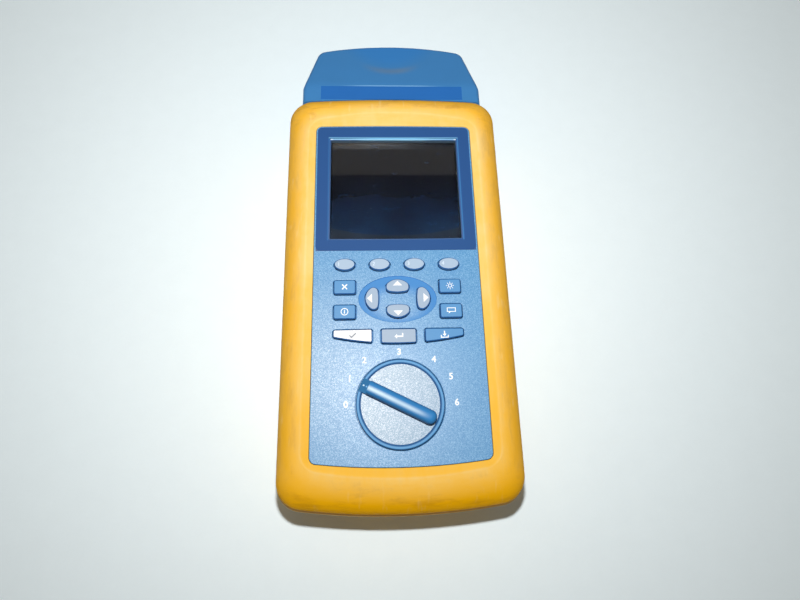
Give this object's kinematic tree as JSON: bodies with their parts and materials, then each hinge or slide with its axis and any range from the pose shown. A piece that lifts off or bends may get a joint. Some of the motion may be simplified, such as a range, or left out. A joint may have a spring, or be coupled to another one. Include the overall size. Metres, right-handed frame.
{
  "type": "ethernet cable analyzer",
  "caption": "Handheld cable analyzer with a yellow case, recessed screen, push keys, rotary dial and a pull-off link adapter with a modular jack.",
  "frame": {"origin": "bottom centre of the bounding box, on the plane of the feet", "axes": "+Z out of the front panel, +Y towards the adapter, +X to the right of the panel"},
  "size_m": [0.1286, 0.2916, 0.0749],
  "materials": {
    "case_yellow": "moulded, worn",
    "panel_blue": "sparkle lacquer",
    "overlay_blue": "printed film",
    "clear_window": "clear",
    "display_dark": "dark display",
    "key_grey": "moulded",
    "key_blue": "moulded",
    "key_white": "moulded",
    "knob_blue": "moulded, satin",
    "face_silver": "sparkle inlay",
    "adapter_blue": "moulded",
    "label_blue": "printed film",
    "rubber_black": "moulded",
    "rubber_grey": "moulded",
    "screw_steel": "zinc plated",
    "sheet_steel": "tinned sheet",
    "board_green": "solder mask",
    "black_plastic": "moulded",
    "contact_brass": "gold flashed",
    "post_brass": "turned",
    "light_guide": "frosted",
    "battery_wrap": "shrink wrap"
  },
  "bodies": {
    "case": {"front_case": "case_yellow", "rear_case": "case_yellow", "front_panel": "panel_blue", "display_overlay": "overlay_blue", "display_window": "clear_window", "lcd_glass": "display_dark", "lcd_bracket": "sheet_steel", "backlight": "light_guide", "case_seal": "rubber_black", "rubber_feet": "rubber_black", "case_screws": "screw_steel", "key_board": "board_green", "keypad_mat": "rubber_grey", "main_board": "board_green", "measure_board": "board_green", "board_posts": "post_brass", "board_screws": "screw_steel", "board_chips": "black_plastic", "shield_can": "sheet_steel", "sounder": "black_plastic", "switch_housing": "black_plastic", "battery_tray": "black_plastic", "adapter_socket": "black_plastic", "serial_port": "sheet_steel", "port_pins": "contact_brass", "power_jack": "black_plastic", "talk_jack": "black_plastic", "card_slot": "sheet_steel"},
    "dial": {"dial_knob": "knob_blue", "dial_face": "face_silver", "dial_shaft": "screw_steel"},
    "adapter": {"adapter_top_shell": "adapter_blue", "adapter_bottom_shell": "adapter_blue", "adapter_label": "label_blue", "adapter_board": "board_green", "adapter_jack": "black_plastic", "jack_contacts": "contact_brass", "adapter_plug": "black_plastic", "adapter_screws": "screw_steel"},
    "release": {"release_slide": "black_plastic", "release_hook": "black_plastic"},
    "battery": {"battery_pack": "battery_wrap", "battery_cover": "case_yellow"},
    "latch": {"battery_latch": "black_plastic"},
    "softkey_1": {"softkey_1": "key_grey"},
    "softkey_2": {"softkey_2": "key_grey"},
    "softkey_3": {"softkey_3": "key_grey"},
    "softkey_4": {"softkey_4": "key_grey"},
    "arrow_up": {"arrow_up": "key_grey"},
    "arrow_down": {"arrow_down": "key_grey"},
    "arrow_left": {"arrow_left": "key_grey"},
    "arrow_right": {"arrow_right": "key_grey"},
    "key_enter": {"key_enter": "key_grey"},
    "key_exit": {"key_exit": "key_blue"},
    "key_fault": {"key_fault": "key_blue"},
    "key_light": {"key_light": "key_blue"},
    "key_talk": {"key_talk": "key_blue"},
    "key_save": {"key_save": "key_blue"},
    "key_test": {"key_test": "key_white"}
  },
  "joints": [
    {"name": "softkey_1_press", "type": "slide", "parent": "case", "child": "softkey_1", "axis": [0, 0, -1], "range_m": [0, 0.001], "stiffness_N_per_m": 1500},
    {"name": "softkey_2_press", "type": "slide", "parent": "case", "child": "softkey_2", "axis": [0, 0, -1], "range_m": [0, 0.001], "stiffness_N_per_m": 1500},
    {"name": "softkey_3_press", "type": "slide", "parent": "case", "child": "softkey_3", "axis": [0, 0, -1], "range_m": [0, 0.001], "stiffness_N_per_m": 1500},
    {"name": "softkey_4_press", "type": "slide", "parent": "case", "child": "softkey_4", "axis": [0, 0, -1], "range_m": [0, 0.001], "stiffness_N_per_m": 1500},
    {"name": "arrow_up_press", "type": "slide", "parent": "case", "child": "arrow_up", "axis": [0, 0, -1], "range_m": [0, 0.001], "stiffness_N_per_m": 1500},
    {"name": "arrow_down_press", "type": "slide", "parent": "case", "child": "arrow_down", "axis": [0, 0, -1], "range_m": [0, 0.001], "stiffness_N_per_m": 1500},
    {"name": "arrow_left_press", "type": "slide", "parent": "case", "child": "arrow_left", "axis": [0, 0, -1], "range_m": [0, 0.001], "stiffness_N_per_m": 1500},
    {"name": "arrow_right_press", "type": "slide", "parent": "case", "child": "arrow_right", "axis": [0, 0, -1], "range_m": [0, 0.001], "stiffness_N_per_m": 1500},
    {"name": "key_enter_press", "type": "slide", "parent": "case", "child": "key_enter", "axis": [0, 0, -1], "range_m": [0, 0.001], "stiffness_N_per_m": 1500},
    {"name": "key_exit_press", "type": "slide", "parent": "case", "child": "key_exit", "axis": [0, 0, -1], "range_m": [0, 0.001], "stiffness_N_per_m": 1500},
    {"name": "key_fault_press", "type": "slide", "parent": "case", "child": "key_fault", "axis": [0, 0, -1], "range_m": [0, 0.001], "stiffness_N_per_m": 1500},
    {"name": "key_light_press", "type": "slide", "parent": "case", "child": "key_light", "axis": [0, 0, -1], "range_m": [0, 0.001], "stiffness_N_per_m": 1500},
    {"name": "key_talk_press", "type": "slide", "parent": "case", "child": "key_talk", "axis": [0, 0, -1], "range_m": [0, 0.001], "stiffness_N_per_m": 1500},
    {"name": "key_save_press", "type": "slide", "parent": "case", "child": "key_save", "axis": [0, 0, -1], "range_m": [0, 0.001], "stiffness_N_per_m": 1500},
    {"name": "key_test_press", "type": "slide", "parent": "case", "child": "key_test", "axis": [0, 0, -1], "range_m": [0, 0.001], "stiffness_N_per_m": 1500},
    {"name": "dial_turn", "type": "hinge", "parent": "case", "child": "dial", "pos_m": [0, -0.09045, 0.066], "axis": [0, 0, 1], "range_deg": [-153, 27]},
    {"name": "adapter_pull", "type": "slide", "parent": "case", "child": "adapter", "axis": [0, 1, 0], "range_m": [0, 0.03]},
    {"name": "release_push", "type": "slide", "parent": "case", "child": "release", "axis": [0, -1, 0], "range_m": [0, 0.005], "stiffness_N_per_m": 400},
    {"name": "battery_lift", "type": "slide", "parent": "case", "child": "battery", "axis": [0, 0, -1], "range_m": [0, 0.035]},
    {"name": "latch_push", "type": "slide", "parent": "battery", "child": "latch", "axis": [0, -1, 0], "range_m": [0, 0.003], "stiffness_N_per_m": 400}
  ]
}
